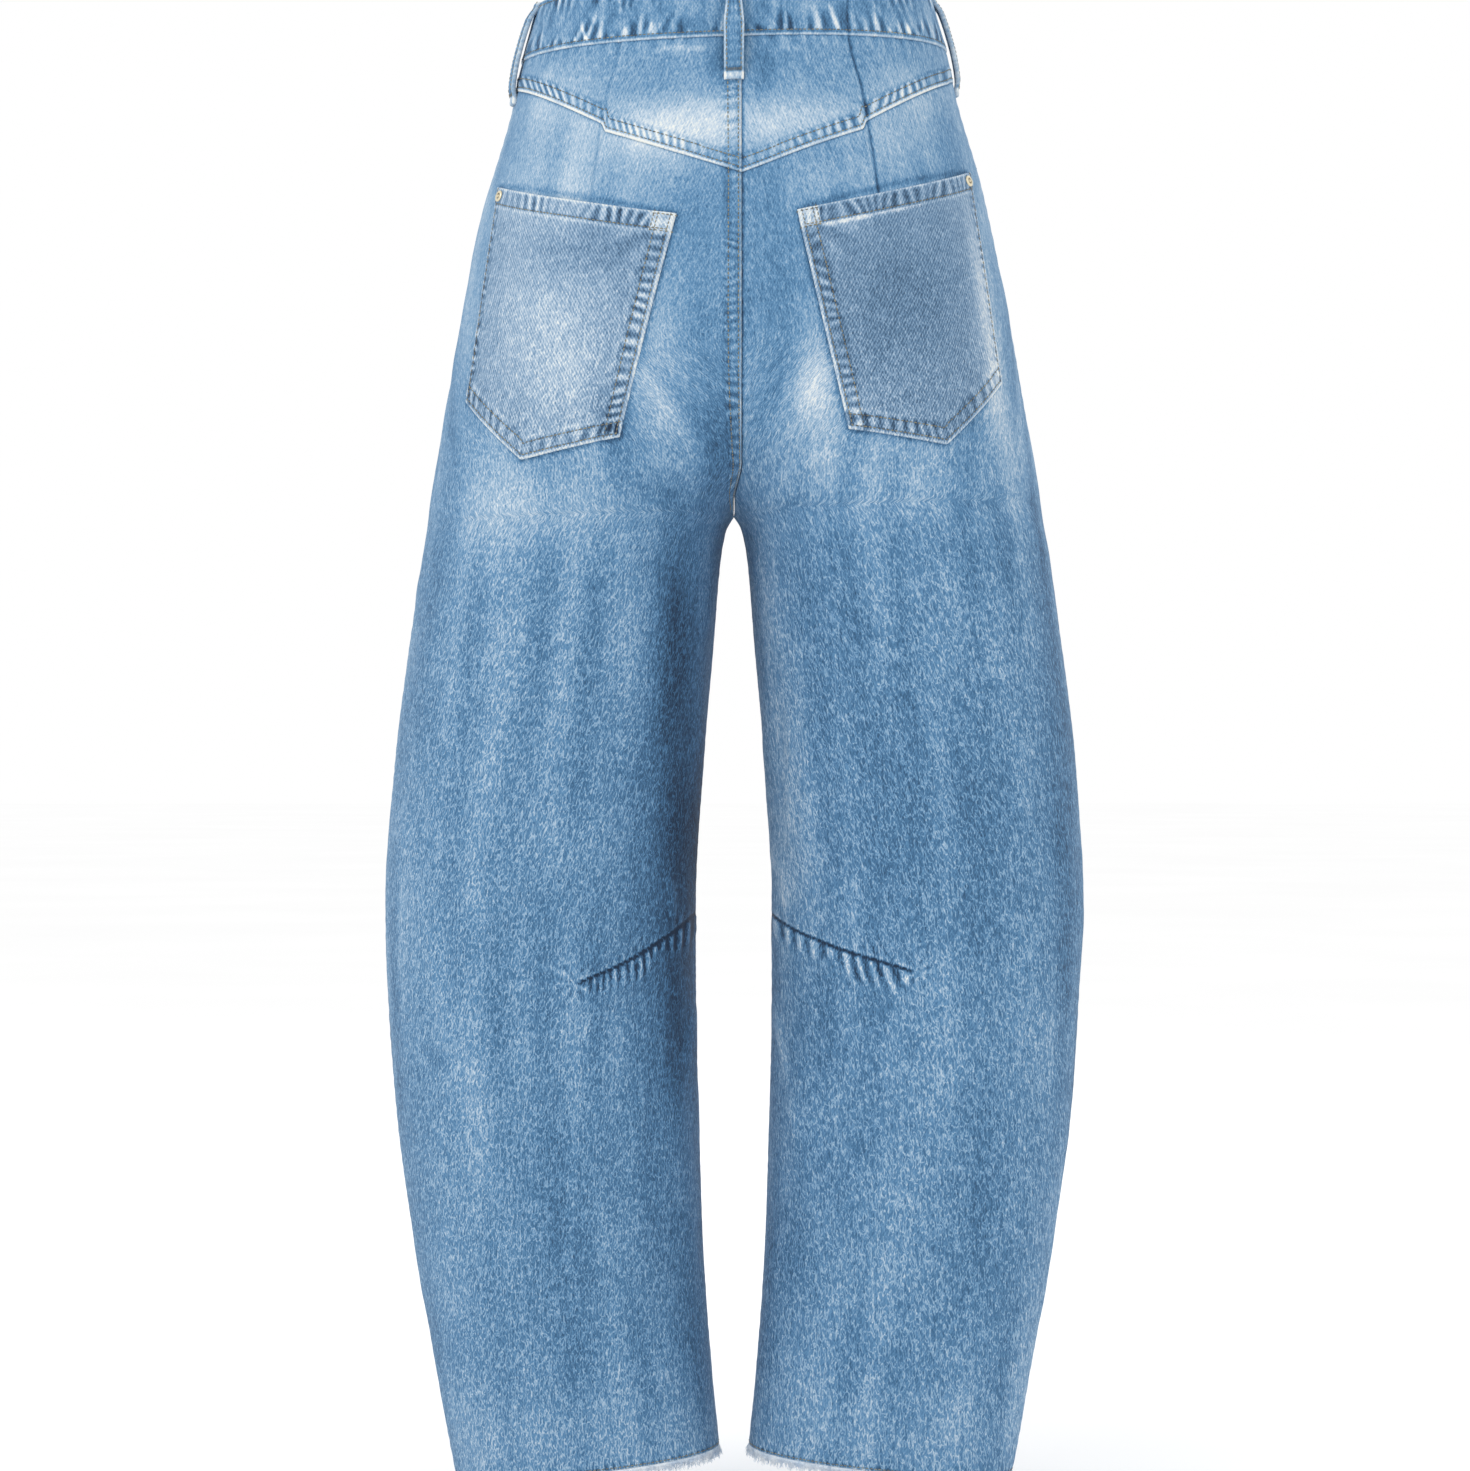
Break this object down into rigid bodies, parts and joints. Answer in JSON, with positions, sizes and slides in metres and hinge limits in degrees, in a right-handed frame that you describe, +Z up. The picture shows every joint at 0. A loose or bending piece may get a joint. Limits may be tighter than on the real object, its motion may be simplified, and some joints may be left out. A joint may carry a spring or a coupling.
{
  "type": "high-waisted barrel-leg jeans",
  "caption": "High-waisted washed-denim jeans with curved barrel legs, a V yoke, patch back pockets, knee darts and raw frayed hems, filled out and hollow.",
  "frame": {"origin": "centre of the waist opening at the waistband's mid-height, where the wearer's waist holds the jeans", "axes": "+Z up, +X towards the wearer's left, -Y towards the front"},
  "size_m": [0.4814, 0.2376, 1.0232],
  "materials": {
    "denim_panel": "stone-washed twill",
    "denim_band": "stone-washed twill, darker",
    "denim_pocket": "stone-washed twill",
    "frayed_cotton": "loose warp and weft ends",
    "brass": "brushed, worn"
  },
  "bodies": {
    "root": {"waistband": "denim_band", "waist_button": "brass", "belt_loop_centre_back": "denim_panel", "belt_loop_side_left": "denim_panel", "belt_loop_side_right": "denim_panel", "belt_loop_front_left": "denim_panel", "belt_loop_front_right": "denim_panel", "yoke_left": "denim_panel", "back_left": "denim_panel", "front_left": "denim_panel", "pocket_facing_left": "denim_panel", "back_pocket_left": "denim_pocket", "pocket_rivet_left": "brass", "raw_hem_left": "frayed_cotton", "yoke_right": "denim_panel", "back_right": "denim_panel", "front_right": "denim_panel", "pocket_facing_right": "denim_panel", "back_pocket_right": "denim_pocket", "pocket_rivet_right": "brass", "raw_hem_right": "frayed_cotton"}
  },
  "joints": []
}
